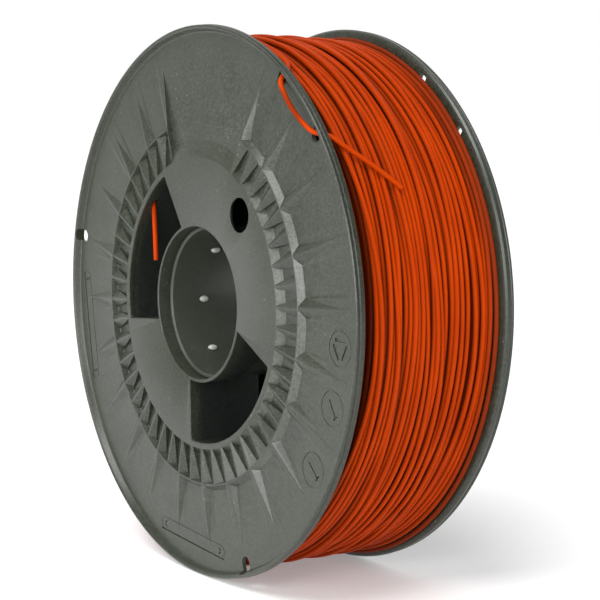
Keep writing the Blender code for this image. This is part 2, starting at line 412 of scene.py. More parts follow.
def grey_plastic():
    """Moulded recycled plastic: fine grain, cloudy tone, dust specks and scuffs, with a painted
    highlight on slopes facing +X, painted shade in the hollows inside the hub, painted light on the
    bore wall and painted glints on the bore's bumps.
    """
    n = Nodes("spool_plastic")
    where = n.position()
    x, y, z = n.parts(where)
    radius = n.from_axle(x, z)

    clouds = n.noise(where, 22.0, 3.0)
    blotches = n.noise(where, 140.0, 3.0, 0.6)
    mottle = n.noise(where, 1100.0, 3.0, 0.75)
    both = n.math("ADD", n.product(clouds, 0.5), n.product(blotches, 0.5))
    color = n.mix(n.ramp(both, 0.3, 0.7), GREY["dark"], GREY["light"])
    color = n.mix(n.ramp(mottle, 0.38, 0.68, 0.0, 0.8), color, GREY["mottle"])

    cells = n.node("ShaderNodeTexVoronoi")
    n.feed(cells.inputs["Vector"], where)
    cells.inputs["Scale"].default_value = 260.0
    dusty = n.ramp(n.noise(where, 90.0, 2.0), 0.52, 0.60)
    specks = n.product(n.ramp(cells.outputs["Distance"], 0.05, 0.11, 1.0, 0.0), dusty)
    slanted = n.stretched(where, (620.0, 620.0, 3000.0), (0.0, math.radians(48.0), 0.0))
    streaks = n.ramp(n.noise(slanted, 1.0, 3.0, 0.65), 0.54, 0.70)
    patches = n.ramp(n.noise(where, 42.0, 2.0), 0.44, 0.62)
    scuffs = n.product(streaks, patches, n.band(radius, (50.0, 56.0), (68.0, 78.0), 0.2))
    marks = n.math("MAXIMUM", n.product(specks, 0.5), n.product(scuffs, 0.36), clamp=True)
    color = n.mix(marks, color, GREY["mark"])

    # Painted highlight: on the right of the spool, the ring's slopes and the tooth feet that face
    # +X are lightened, where light from the right would catch them.
    ring_slopes = n.band(radius, (65.8, 66.1), (68.0, 68.6))
    tooth_feet = n.band(radius, (53.0, 53.3), (55.2, 56.0))
    outwards = n.parts(n.node("ShaderNodeNewGeometry").outputs["Normal"])[0]
    painted_slope_highlight = n.product(
        n.math("MAXIMUM", ring_slopes, tooth_feet), n.ramp_mm(x, 24.0, 50.0),
        n.ramp(outwards, 0.30, 0.48), n.ramp(mottle, 0.34, 0.66, 0.28, 0.58),
    )
    color = n.mix(painted_slope_highlight, color, GREY["painted_slope_highlight"])

    # Painted shade in the hollows inside the hub, between the bore and the drum, fading towards the
    # outer faces.
    painted_hollow_shade = n.band(radius, (27.7, 28.1), (51.9, 52.3))
    painted_hollow_shade = n.product(painted_hollow_shade, n.ramp_mm(n.math("ABSOLUTE", y), 26.8, 30.2, 0.6, 0.0))
    color = n.mix(painted_hollow_shade, color, GREY["painted_hollow_shade"])
    # Painted light: the bore wall is made lighter, as light coming in through the rear would make
    # it.
    color = n.mix(n.ramp_mm(radius, 27.0, 28.4, 0.5, 0.0), color, GREY["bore"])
    # Painted glint: the tops of the bumps in the bore are made nearly white.
    color = n.mix(n.ramp_mm(radius, 25.75, 26.20, 0.8, 0.0), color, GREY["bump"])

    grain = n.noise(where, 2200.0, 2.0, 0.65)
    n.feed(n.shader["Base Color"], color)
    n.feed(n.shader["Specular IOR Level"], 0.5)
    n.feed(n.shader["Roughness"], n.ramp(n.math("ADD", grain, marks), 0.2, 1.2, 0.3, 0.52))
    n.feed(n.shader["Normal"], n.bump(grain, 0.35, 0.00007))
    return n.material


def orange_filament():
    """Extruded strand with die lines along it, with painted shade on its front side, on the lower
    layers, in the gaps and by both flanges, and painted light on its rear side.

    The UV map holds the way along the strand, or -1 in lower layers, and the sine of the way round.
    """
    n = Nodes("filament")
    where = n.position()
    x, y, z = n.parts(where)
    radius = n.from_axle(x, z)
    uv = n.node("ShaderNodeTexCoord").outputs["UV"]
    along, side, _ = n.parts(uv)

    tone = n.ramp(n.noise(where, 60.0, 2.0), 0.3, 0.7)
    color = n.mix(tone, ORANGE["crown"], ORANGE["pale_crown"])
    # Painted light: the rear side of each strand is a deeper red, as if lit through from behind.
    color = n.mix(n.ramp(side, 0.45, 0.95), color, ORANGE["painted_rear_side_light"])
    # Painted shade on the front side of each strand.
    color = n.mix(n.ramp(side, -0.95, -0.35, 1.0, 0.0), color, ORANGE["painted_front_side_shade"])
    # Painted shade on the lower layers, seen between the top strands.
    color = n.mix(n.ramp(along, -0.6, -0.2, 0.85, 0.0), color, ORANGE["lower_layer"])

    # Painted shade in the gaps: the lower a strand's surface lies in the coil, the darker it is.
    coil = n.band(radius, (70.0, 72.0), (96.1, 96.8))
    gap = n.product(n.ramp_mm(radius, 94.2, 95.5, 0.68, 0.0), coil)
    color = n.mix(gap, color, ORANGE["gap"])
    # Painted shadow of the rear flange on the last turns beside it.
    color = n.mix(n.ramp_mm(y, 23.5, 27.2, 0.0, 0.7), color, ORANGE["rear_flange_shade"])
    # Painted shade in the trough beside the front flange.
    front_flange_shade = n.product(
        n.ramp_mm(y, -26.2, -22.5, 0.8, 0.0), n.ramp_mm(y, -29.5, -28.5), coil,
    )
    color = n.mix(front_flange_shade, color, ORANGE["front_flange_shade"])

    lines = n.noise(n.stretched(uv, (1.5, 5.0, 1.0)), 1.0, 2.0)
    n.feed(n.shader["Base Color"], color)
    n.feed(n.shader["Specular IOR Level"], 0.04)
    n.feed(n.shader["Roughness"], n.ramp(lines, 0.3, 0.7, 0.38, 0.55))
    n.feed(n.shader["Normal"], n.bump(lines, 0.12, 0.00004))
    return n.material


# ---------------------------------------------------------------- filament

FILAMENT_R = 0.875
TUBE_SIDES = 14
TAIL_STEP_M, INNER_END_STEP_M = 0.0012, 0.0015

# The outer tail, as (radius, angle, depth)
OUTER_TAIL = (
    (97.4, 72.0, 5.3), (97.4, 70.0, 5.5), (97.4, 68.0, 5.9), (97.4, 66.0, 6.7),
    (97.4, 64.0, 7.5), (97.4, 62.0, 7.9), (97.4, 60.3, 7.6), (97.4, 58.9, 6.7),
    (97.2, 57.8, 5.4), (96.7, 57.0, 4.0), (96.1, 56.4, 2.7), (95.4, 55.6, 1.5),
    (94.8, 54.3, 0.7), (94.2, 52.2, 0.2), (93.8, 50.0, 0.0), (93.7, 48.0, -0.1),
    (93.8, 46.0, 0.0), (94.2, 43.8, 0.2), (94.8, 41.7, 0.7), (95.4, 40.4, 1.5),
    (96.1, 39.6, 2.7), (96.7, 39.0, 4.1), (97.2, 38.4, 5.6), (97.4, 37.4, 7.3),
    (97.4, 36.0, 9.5), (97.4, 34.2, 12.8), (97.4, 32.4, 16.3), (97.4, 30.5, 19.8),
    (97.4, 28.5, 23.4), (97.4, 26.4, 27.0),
)
TAIL_R = OUTER_TAIL[0][0]
# The inner end, as (x, z, depth)
INNER_END = (
    (-41.1, 37.7, 5.3), (-40.5, 35.6, 5.2), (-40.0, 32.8, 5.1),
    (-39.4, 28.0, 5.0), (-38.7, 21.0, 4.9), (-38.1, 13.1, 4.8),
)


def smooth_route(points, step):
    """Points every `step` along a Catmull-Rom curve through these, in metres."""
    p = np.array(points, float)
    p = np.vstack([2 * p[0] - p[1], p, 2 * p[-1] - p[-2]])
    fine = []
    for a, b, c, d in zip(p[:-3], p[1:-2], p[2:-1], p[3:]):
        count = max(2, int(np.linalg.norm(c - b) / step) + 1)
        square, cube = 2 * a - 5 * b + 4 * c - d, 3 * b - a - 3 * c + d
        for t in np.linspace(0.0, 1.0, count, endpoint=False):
            fine.append(0.5 * (2 * b + (c - a) * t + square * t * t + cube * t ** 3))
    fine.append(p[-2])
    return np.array(fine)


def circles(middle, sizes, normal, across, sides):
    """A ring of points round each middle, and the angles round it."""
    phi = np.arange(sides) * 2 * math.pi / sides
    cosine, sine = np.cos(phi)[None, :, None], np.sin(phi)[None, :, None]
    return middle[:, None] + sizes * (cosine * normal[:, None] + sine * across[:, None]), phi


def tube_faces(count, sides):
    """Quads between this many rings of points, and the two ends."""
    a = np.arange(count - 1)[:, None] * sides + np.arange(sides)[None, :]
    b = np.arange(count - 1)[:, None] * sides + (np.arange(sides)[None, :] + 1) % sides
    faces = np.stack([a, b, b + sides, a + sides], -1).reshape(-1, 4).tolist()
    faces.append(tuple(range(sides)))
    faces.append(tuple(count * sides - 1 - i for i in range(sides)))
    return faces


def unit(vectors):
    return vectors / np.linalg.norm(vectors, axis=1)[:, None]


def tube_mesh(name, route, radius, sides, material):
    """A round strand along a route, with slightly bevelled cut ends."""
    tangent = unit(np.gradient(route, axis=0))
    normal = np.zeros_like(route)
    upright = abs(tangent[0][2]) >= 0.9
    normal[0] = np.cross(tangent[0], (1.0, 0.0, 0.0) if upright else (0.0, 0.0, 1.0))
    for i in range(1, len(route)):
        normal[i] = normal[i - 1] - tangent[i] * (normal[i - 1] @ tangent[i])
    normal = unit(normal)
    across = np.cross(tangent, normal)
    bevel = 0.12 * radius
    sizes = np.concatenate([[radius - bevel], np.full(len(route), radius), [radius - bevel]])
    start, end = route[0] + tangent[0] * bevel, route[-1] - tangent[-1] * bevel
    route = np.vstack([route[0], start, route[1:-1], end, route[-1]])
    normal = np.vstack([normal[0], normal, normal[-1]])
    across = np.vstack([across[0], across, across[-1]])
    rings, _ = circles(route, sizes[:, None, None], normal, across, sides)
    return add_mesh(name, rings.reshape(-1, 3).tolist(), tube_faces(len(route), sides), material)


def add_tail(material):
    route = [place(*polar(radius, angle), depth) for radius, angle, depth in OUTER_TAIL]
    fine = smooth_route(route, TAIL_STEP_M)
    tail = tube_mesh("outer_tail", fine, FILAMENT_R * MM, TUBE_SIDES, material)
    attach(tail, "root")
    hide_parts("filament_outer_tail")


def add_inner_end(material):
    fine = smooth_route([place(*point) for point in INNER_END], INNER_END_STEP_M)
    end = tube_mesh("inner_end", fine, FILAMENT_R * MM, TUBE_SIDES, material)
    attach(end, "root")
    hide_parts("filament_inner_end")


# Where each turn of the top layer lies, in mm from the middle of the spool towards the rear flange,
# at these angles. The first number is how far it sits below the layer.
START_ANGLE = 65.0
TURN_ANGLES = (START_ANGLE, 45.0, 25.0, 5.0, -15.0, -35.0, -55.0)
TOP_TURNS = (
    (-1.3, 27.6, 27.6, 27.65, 27.65, 27.65, 27.65, 27.65),
    (-0.2, 26.1, 26.5, 26.6, 25.8, 25.7, 25.8, 25.2),
    (0.0, 24.2, 25.9, 25.4, 24.2, 23.9, 23.8, 22.8),
    (1.2, 22.9, 23.6, 23.6, 23.8, 23.8, 23.3, 22.4),
    (0.0, 21.4, 22.3, 22.4, 22.5, 22.4, 21.9, 20.9),
    (0.6, 19.9, 20.2, 20.6, 20.9, 20.8, 20.2, 19.2),
    (0.0, 18.1, 18.2, 19.1, 19.4, 19.6, 18.5, 17.6),
    (0.9, 17.0, 16.8, 17.2, 17.3, 17.3, 17.0, 16.4),
    (0.3, 16.2, 15.6, 16.6, 16.1, 15.9, 15.3, 15.3),
    (0.4, 15.2, 15.3, 15.3, 14.4, 14.1, 13.8, 14.6),
    (0.0, 14.9, 14.3, 14.3, 13.5, 13.3, 13.3, 13.6),
    (0.0, 12.7, 12.7, 12.5, 11.2, 10.4, 10.1, 10.0),
    (0.4, 11.4, 11.9, 11.8, 11.8, 11.6, 11.4, 11.3),
    (0.0, 9.1, 9.7, 10.0, 9.9, 9.9, 9.5, 9.4),
    (0.2, 7.8, 8.8, 9.2, 9.5, 9.2, 9.1, 8.7),
    (0.2, 6.1, 6.6, 7.3, 7.2, 7.0, 6.8, 6.0),
    (0.1, 4.9, 5.3, 5.0, 4.8, 6.3, 6.5, 5.5),
    (0.0, 3.7, 3.7, 3.8, 2.9, 4.0, 4.5, 4.0),
    (0.0, 2.8, 2.7, 2.3, 2.5, 2.7, 3.4, 2.4),
    (0.2, 1.2, 1.1, 1.1, 1.3, 2.3, 2.0, 0.8),
    (0.0, -0.4, -0.7, -0.8, -0.8, 0.4, 0.6, -0.6),
    (0.0, -2.1, -2.0, -2.5, -2.6, -2.5, -2.8, -3.9),
    (0.0, -4.5, -4.4, -4.5, -4.5, -3.9, -4.3, -5.2),
    (0.2, -5.3, -5.4, -5.5, -5.6, -4.9, -5.6, -6.3),
    (0.0, -6.7, -6.7, -6.7, -6.1, -6.4, -7.2, -7.4),
    (0.1, -7.4, -7.2, -7.3, -7.3, -7.9, -8.0, -8.5),
    (0.3, -9.0, -8.7, -9.0, -9.1, -9.4, -9.3, -9.4),
    (0.0, -11.5, -11.1, -11.2, -12.0, -11.0, -10.6, -10.2),
    (0.1, -12.8, -12.6, -12.6, -13.0, -12.2, -11.8, -11.0),
    (0.5, -13.5, -13.0, -13.6, -13.9, -13.7, -14.5, -15.2),
    (0.0, -14.3, -14.1, -14.6, -15.5, -15.7, -17.0, -18.3),
    (1.0, -16.4, -16.2, -16.5, -17.4, -17.6, -18.4, -19.0),
    (0.2, -19.4, -18.4, -18.9, -19.4, -20.0, -21.2, -22.3),
    (0.1, -20.6, -20.8, -20.9, -21.2, -21.6, -24.0, -25.4),
    (0.0, -22.9, -22.8, -21.6, -20.2, -19.3, -19.7, -20.8),
    (4.6, -25.2, -24.8, -24.2, -23.8, -24.2, -25.5, -26.9),
)
COIL_R = 94.9
MOST_R = 96.3
PITCH = 2 * FILAMENT_R
STEPS_PER_TURN = 216
SEED = 7
TOP_SIDES, LOWER_SIDES = 10, 8
# How far the die lines run on from one ring of points to the next
UV_STEP = 0.4

# The strand's way in and out of the top layer, as (travel, y, how far it sits below the layer).
# Travel is in degrees, and at the end it counts from the last row.
LAYER_START = ((-90.0, 27.65, 1.9), (-45.0, 27.65, -1.3))
LAYER_END = ((90.0, -27.0, 0.0), (190.0, -27.3, 0.0), (232.0, -27.35, 0.0))
# Over how much travel the end of the strand rises to the outer tail
LAST_RISE = 40.0
# Humps near the bottom of the coil, as (turn, height, width in degrees), all this far into a turn
HUMP_TRAVEL = 138.0
HUMPS = ((0, 1.4, 45.0), (1, 1.0, 40.0), (len(TOP_TURNS) - 1, 2.5, 24.0))
# Two loose layers below it, as (from y, to y, steps per turn)
LAYER_DROP, LOWER_PITCH, LOWER_MOST_Y = 1.62, 1.86, 27.2
LOWER_LAYERS = ((27.2, -26.6, 150), (-26.9, 27.2, 120))
# The coil's body below those, as (radius, y)
CORE = (
    (54.3, -28.3), (90.4, -28.3), (90.8, -27.9), (90.8, -23.2),
    (91.4, -21.3), (91.4, 27.9), (91.0, 28.3), (54.3, 28.3),
)
CORE_STEPS = 180
# Only its outer corners sink with the trough.
SINKS_FROM_R = 60.0


def wavy(rng, count, length, size):
    """Smooth noise along a strand: `length` samples between its knots, of about this size."""
    knots = rng.normal(0.0, 1.0, count // length + 4)
    at = np.arange(count) / length
    i = at.astype(int)
    t = eased(at - i)
    return size * (knots[i] * (1 - t) + knots[i + 1] * t)


def smoothed(values, width):
    kernel = np.exp(-0.5 * (np.arange(-3 * width, 3 * width + 1) / width) ** 2)
    padded = np.pad(values, 3 * width, mode="edge")
    return np.convolve(padded, kernel / kernel.sum(), mode="valid")


def hermite(x, y, at):
    """A smooth curve through points x, y, with no overshoot between them worth seeing."""
    slope = np.gradient(y, x)
    i = np.clip(np.searchsorted(x, at, side="right") - 1, 0, len(x) - 2)
    h = x[i + 1] - x[i]
    t = (at - x[i]) / h
    return (
        y[i] * (1 + 2 * t) * (1 - t) ** 2
        + h * slope[i] * t * (1 - t) ** 2
        + y[i + 1] * t * t * (3 - 2 * t)
        + h * slope[i + 1] * t * t * (t - 1)
    )


def top_layer(rng):
    """Travel (degrees), y and radius of the top layer, one strand from the rear to the front."""
    knots = list(LAYER_START)
    for turn, row in enumerate(TOP_TURNS):
        sunk = row[0]
        for angle, y in zip(TURN_ANGLES, row[1:]):
            knots.append((turn * 360.0 + START_ANGLE - angle, y, sunk))
        if turn + 1 < len(TOP_TURNS):
            gap = TOP_TURNS[turn + 1][1] - row[-1]
            for share in (0.33, 0.66):
                y = row[-1] + gap * share + rng.normal(0.0, 0.35)
                knots.append((turn * 360.0 + 120.0 + share * 240.0, y, sunk * (1 - share)))
    last = knots[-1][0]
    knots += [(last + further, y, sunk) for further, y, sunk in LAYER_END]
    travel, across, sunk = (np.array(values) for values in zip(*knots))
    count = int((travel[-1] - travel[0]) / 360.0 * STEPS_PER_TURN)
    at = np.linspace(travel[0], travel[-1], count)
    y = hermite(travel, across, at) + wavy(rng, count, 9, 0.05)
    return at, y, COIL_R - np.interp(at, travel, sunk) + wavy(rng, count, 14, 0.06)


def settle(at, y, radius):
    """Parts neighbouring turns where they would lie in each other, the higher one going over.

    Of two that start level the later one goes over, and the later one always moves further.
    """
    steps = STEPS_PER_TURN
    rows = math.ceil(len(at) / steps)
    pad = rows * steps - len(at)
    ys = np.pad(y, (0, pad), constant_values=1e3).reshape(rows, steps)
    rs = np.pad(radius, (0, pad), constant_values=0.0).reshape(rows, steps)
    start = rs.copy()
    rounds, neighbours, earlier_moves, later_moves = 40, 4, 0.18, 0.32
    for _ in range(rounds):
        for i in range(rows):
            for j in range(i + 1, min(rows, i + 1 + neighbours)):
                apart = np.abs(ys[i] - ys[j])
                need = np.sqrt(np.clip(PITCH ** 2 - apart ** 2, 0.0, None))
                over = np.where(start[i] > start[j] + 0.02, 1.0, -1.0)
                short = np.clip(need - (rs[i] - rs[j]) * over, 0.0, None) * (apart < PITCH)
                rs[i] += over * short * earlier_moves
                rs[j] -= over * short * later_moves
    return smoothed(np.minimum(rs.reshape(-1)[:len(at)], MOST_R), 4)


def strand_along(at, y, radius, sides):
    """Points, faces and UVs of a strand round the coil, which turns backwards from START_ANGLE."""
    angle = np.radians(START_ANGLE - at)
    zero = np.zeros_like(y)
    out = np.stack([np.cos(angle), zero, np.sin(angle)], 1)
    middle = out * radius[:, None] + np.stack([zero, y, zero + AXLE_Z], 1)
    side = unit(np.cross(out, unit(np.gradient(middle, axis=0))))
    rings, phi = circles(middle, FILAMENT_R, out, side, sides)
    along = np.repeat(np.cumsum(np.full(len(at), UV_STEP)), sides)
    uvs = np.stack([along, np.tile(np.sin(phi), len(at))], 1)
    return rings.reshape(-1, 3) * MM, tube_faces(len(at), sides), uvs


def trough(degrees, y):
    """How far the coil sinks beside the front flange, on the side that was wound last."""
    middle, half, ease = 12.0, 62.0, 14.0
    edge_y, width, deep = -21.3, 1.6, 6.0
    turn = np.abs((np.asarray(degrees) - middle + 180.0) % 360.0 - 180.0)
    within = np.clip((half - turn) / ease, 0.0, 1.0)
    towards = np.clip((edge_y - np.asarray(y)) / width, 0.0, 1.0)
    return deep * eased(within) * towards


def lower_layer(rng, radius, from_y, to_y, steps):
    """Travel, y and radius of a loose layer below the top one."""
    turns = abs(to_y - from_y) / LOWER_PITCH
    count = int(turns * steps)
    at = np.linspace(0.0, turns * 360.0, count)
    y = np.linspace(from_y, to_y, count) + wavy(rng, count, steps // 5, 0.33)
    y = np.clip(y, -LOWER_MOST_Y, LOWER_MOST_Y)
    return at, y, radius + wavy(rng, count, steps // 8, 0.12) - trough(START_ANGLE - at, y)


def core_ring():
    """Points, faces and UVs of the coil's body under its outer layers."""
    points, faces = [], []
    rows = len(CORE)
    for i in range(CORE_STEPS):
        angle = i * 360.0 / CORE_STEPS
        here, after = i * rows, (i + 1) % CORE_STEPS * rows
        for k, (radius, y) in enumerate(CORE):
            sunk = float(trough(angle, y)) if radius > SINKS_FROM_R else 0.0
            x, z = polar(radius - sunk, angle)
            points.append((x * MM, y * MM, (z + AXLE_Z) * MM))
            below = (k + 1) % rows
            faces.append((here + k, here + below, after + below, after + k))
    return np.array(points), faces, np.tile((-1.0, -1.0), (len(points), 1))


def add_coil(material):
    rng = np.random.default_rng(SEED)
    at, y, radius = top_layer(rng)
    radius = settle(at, y, radius)
    for turn, height, width in HUMPS:
        radius += height * np.exp(-(((at - 360.0 * turn - HUMP_TRAVEL) / width) ** 2))
    radius += (TAIL_R - radius) * eased(np.clip((at - at[-1] + LAST_RISE) / LAST_RISE, 0.0, 1.0))
    solids = [strand_along(at, y, radius, TOP_SIDES)]
    for level, (from_y, to_y, steps) in enumerate(LOWER_LAYERS):
        lower = lower_layer(rng, COIL_R - LAYER_DROP * (level + 1), from_y, to_y, steps)
        some_points, some_faces, some_uvs = strand_along(*lower, LOWER_SIDES)
        some_uvs[:, 0] = -1.0
        solids.append((some_points, some_faces, some_uvs))
    solids.append(core_ring())
    faces, start = [], 0
    for some_points, some_faces, _ in solids:
        faces += [tuple(start + i for i in face) for face in some_faces]
        start += len(some_points)
    mesh = bpy.data.meshes.new("coil")
    mesh.from_pydata(np.vstack([points for points, _, _ in solids]).tolist(), [], faces)
    uvs = np.vstack([some_uvs for _, _, some_uvs in solids])
    layer = mesh.uv_layers.new(name="strand")
    corner = np.zeros(len(mesh.loops), np.int32)
    mesh.loops.foreach_get("vertex_index", corner)
    layer.data.foreach_set("uv", uvs[corner].astype(np.float32).ravel())
    mesh.materials.append(material)
    coil = add_object("wound_filament", mesh)
    smooth_shaded(mesh)
    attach(coil, "root")
    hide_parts("filament_winding")


# ---------------------------------------------------------------- the two halves

AXIS_ANGLE = 48.0
LABEL_FROM, LABEL_TO = 63.0, 108.0
HUB_R, RING_R, RAY_TIP_R = 53.0, 65.9, 89.0
WINDOW_CENTRES = (AXIS_ANGLE + 106.0, AXIS_ANGLE - 106.0)
SLOT_ANGLES = (AXIS_ANGLE - 8.3, AXIS_ANGLE + 8.3, AXIS_ANGLE + 120.0, AXIS_ANGLE + 240.0)
PLATE, INSIDE = 1.6, 4.0
COLUMNS = 360

# Places on the outer face, as (radius, depth)
RING_FOOT, LIP_FOOT, LABEL_FOOT = (68.1, 2.1), (97.4, 2.6), (59.0, 1.9)
# How much the corners of the face are rounded, from the hub to the ring
FACE_ROUNDING = (0.5, 0.5, 0.5, 0.0, 0.25, 0.25, 0.6)
# The lip at the rim: each corner, and how much it is rounded
LIP = (
    (LIP_FOOT, 0.7), ((98.3, 0.45), 0.5), ((98.8, 0.0), 0.4), ((99.4, 0.0), 0.25),
    ((99.75, 0.35), 0.25), ((99.75, 0.95), 0.15), ((99.45, 1.2), 0.0), ((99.45, 1.45), 0.0),
    ((99.85, 1.75), 0.2), ((100.0, 3.0), 0.2), ((99.4, 3.75), 0.3), ((98.6, INSIDE), 0.3),
)

# The crest of a ridge, as (across, fall) in shares of its half width
CREST = ((-1.0, 0.16), (-0.6, 0.05), (0.0, 0.0), (0.6, 0.05), (1.0, 0.16))
# How far a ridge reaches past its middle on a side that it does not keep
STUB = 0.15
CREST_DEPTH, FLANK_SLOPE = 0.05, 0.66
TOOTH_PITCH, TOOTH_FOOT = 7.5, 3.2
TOOTH_SECTIONS = ((HUB_R - 0.4, 0.5), (RING_R - 0.1, 3.6))  # radius, half width
RAY_PITCH, RAY_EAVES, RAY_FOOT = 15.0, 3.2, 3.4
RAY_SECTIONS = ((RING_R + 0.1, 0.75), (RAY_TIP_R + 4.0, 0.25))  # radius, half width of the crest

WINDOW_INNER_R, WINDOW_OUTER_R, WINDOW_OFFSET, WINDOW_ROUNDING = 28.95, 51.0, 6.2, 1.5
WINDOW_HALF_ANGLE, WINDOW_STEPS = 30.0, 32
RIB_OFFSETS, RIB_DEPTHS = (6.3, 7.9), (0.8, 30.0)
SLOT_R, SLOT_HALF, REAR_SLOT_SMALLER = 95.0, 2.4, 0.7
PIN_HOLE_OUT, PIN_HOLE_R, PIN_HOLE_CHAMFER, PIN_HOLE_FLARE = 44.3, 6.1, 0.12, 1.6
# The hole where the strand starts: its angle, depth, and half sizes round and along the hub
START_HOLE = (138.8, 5.2, 2.7, 1.5)
START_HOLE_R = (50.0, 55.0)
OCTAGON = (
    (1.0, -0.7), (1.0, 0.7), (0.7, 1.0), (-0.7, 1.0),
    (-1.0, 0.7), (-1.0, -0.7), (-0.7, -1.0), (0.7, -1.0),
)

# Engraved lines of the mould inserts
LINE_DEPTH = 2.6
# Round inserts, as (angle, radius, where the pointer points)
DIALS = ((325.1, 87.5, -46.0), (341.3, 87.5, -60.0), (354.8, 87.7, None))
DIAL_LINE_R = (5.8, 6.08)
# Long inserts, from and to (radius, angle)
LONG_INSERTS = (((90.9, 178.0), (91.4, 202.4)), ((91.0, 251.9), (90.4, 277.9)))
LONG_INSERT_HALF, LONG_LINE = 2.4, (-0.15, 0.17)

# Bumps in the bore, as (angle, depth), and how one narrows, as (radius, size)
BUMPS = ((138.0, 45.3), (183.2, 46.5), (227.5, 47.8))
BUMP_SECTIONS = ((26.9, 1.0), (26.4, 1.0), (25.9, 0.94), (25.45, 0.76), (25.15, 0.5), (25.02, 0.2))
BUMP_HALF_LENGTH, BUMP_HALF_WIDTH = 2.1, 1.35

# The inside of each half, as (radius, depth) from the flange to the bore
WIDTH = 2 * HALF_WIDTH
FRONT_INSIDE = [
    (54.0, INSIDE), (54.0, WIDTH - 4.3), (51.6, WIDTH - 4.3), (51.6, PLATE), (28.85, PLATE),
    (28.85, 12.0), (28.3, 12.0), (27.75, 0.5), (27.8, 0.15), (28.1, 0.0),
]
REAR_INSIDE = [
    (51.2, INSIDE), (51.2, 8.0), (49.7, 8.0), (49.7, PLATE), (27.6, PLATE), (27.6, WIDTH - 4.8),
    (27.0, WIDTH - 4.8), (26.4, WIDTH - 5.4), (26.4, 0.35), (26.5, 0.1), (26.75, 0.0),
]
FRONT_RIBS, REAR_RIBS = (28.6, 52.1), (27.1, 50.2)


def face_profile(label):
    """The outer face from the hub to the rim, in the label field or beside it, and its rounding."""
    shared = (RING_R - 0.75, LABEL_FOOT[1] + 0.05)
    if label:
        face = [(HUB_R, 0.0), (HUB_R + 2.0, 0.5), LABEL_FOOT, shared,
                (RING_R - 0.1, 1.96), (RING_R + 0.5, 1.97), RING_FOOT]
    else:
        face = [(HUB_R, 0.0), (HUB_R + 2.4, 2.5), (RING_R - 0.9, 2.5), shared,
                (RING_R - 0.25, 0.0), (RING_R + 0.35, 0.0), RING_FOOT]
    lip, lip_rounding = zip(*LIP)
    return face + list(lip), list(FACE_ROUNDING + lip_rounding)


def turned_half(name, inside, rear, material):
    """One half as a body of revolution, whose face changes at both edges of the label's field."""
    step = 360.0 / COLUMNS
    columns = []
    for i in range(COLUMNS):
        angle = (i + 0.5) * step
        columns.append((angle, LABEL_FROM < angle < LABEL_TO))
    for edge, order in ((LABEL_FROM, (False, True)), (LABEL_TO, (True, False))):
        at = next(i for i, (angle, _) in enumerate(columns) if angle > edge)
        columns[at:at] = [(edge, order[0]), (edge, order[1])]
    outlines = {}
    for label in (False, True):
        face, radii = face_profile(label)
        outlines[label] = rounded(face + inside, radii + [0.0] * len(inside))
    points = []
    for angle, label in columns:
        for radius, depth in outlines[label]:
            points.append(place(*polar(radius, angle), depth, rear))
    rows = len(outlines[False])
    faces = []
    for i in range(len(columns)):
        here, after = i * rows, (i + 1) % len(columns) * rows
        for k in range(rows):
            below = (k + 1) % rows
            faces.append((here + k, after + k, after + below, here + below))
    return add_mesh(name, points, faces, material, smooth=False)


def ridge_section(angle, radius, rear, sides, top, eaves, foot, land, half):
    """A cross-section of a ridge with a rounded crest. `sides` says which flanks it keeps."""
    left, right = (half if kept else STUB for kept in sides)
    crest = [(across * land, top + fall * land) for across, fall in CREST]
    if not sides[0]:
        crest = [(-STUB, top)] + [point for point in crest[1:] if point[0] > -STUB]
    if not sides[1]:
        crest = [point for point in crest[:-1] if point[0] < STUB] + [(STUB, top)]
    # Every section needs as many points, so the one by the cut is repeated.
    insert_at, repeated = (-1, -2) if sides[0] else (1, 1)
    while len(crest) < len(CREST):
        crest.insert(insert_at, crest[repeated])
    stub_eaves = (top + foot) / 2
    outline = [(-left, foot), (-left, eaves if sides[0] else stub_eaves)]
    outline += crest
    outline += [(right, eaves if sides[1] else stub_eaves), (right, foot)]
    return [place(*along_angle(angle, radius, v), depth, rear) for v, depth in outline]


def add_tooth(solids, angle, rear, sides):
    """A tooth between the hub and the ring, wider towards the ring."""
    sections = []
    for radius, half in TOOTH_SECTIONS:
        land = min(0.4, 0.85 * half)
        eaves = max(CREST_DEPTH + FLANK_SLOPE * (half - 0.2), 0.2)
        sections.append(ridge_section(
            angle, radius, rear, sides, CREST_DEPTH, eaves, TOOTH_FOOT, land, half))
    solids.loft(sections)


def add_ray(solids, angle, rear, sides):
    """A ray from the ring outwards, which sinks into the face at its tip."""
    slope = (LIP_FOOT[1] - RING_FOOT[1]) / (LIP_FOOT[0] - RING_FOOT[0])
    tip_depth = RING_FOOT[1] + slope * (RAY_TIP_R - RING_FOOT[0])
    fall = (tip_depth - CREST_DEPTH) / (RAY_TIP_R - RING_R)
    sections = []
    for radius, land in RAY_SECTIONS:
        top = CREST_DEPTH + fall * (radius - RING_R)
        half = land + (RAY_EAVES - top) / FLANK_SLOPE
        sections.append(ridge_section(
            angle, radius, rear, sides, top, RAY_EAVES, RAY_FOOT, land, half))
    solids.loft(sections)


def window_reach(radius, offset):
    """Half the angle across a window at this radius, with its sides this far out."""
    return WINDOW_HALF_ANGLE + math.degrees(math.asin(offset / radius))


def window_outline(centre, grow):
    corners, radii = [], []
    for radius, sign in ((WINDOW_OUTER_R + grow, 1.0), (WINDOW_INNER_R - grow, -1.0)):
        reach = window_reach(radius, WINDOW_OFFSET + grow)
        for i in range(WINDOW_STEPS + 1):
            share = 2.0 * i / WINDOW_STEPS - 1.0
            corners.append(polar(radius, centre + sign * reach * share))
            radii.append(WINDOW_ROUNDING + grow if i in (0, WINDOW_STEPS) else 0.0)
    return rounded(corners, radii, 5)


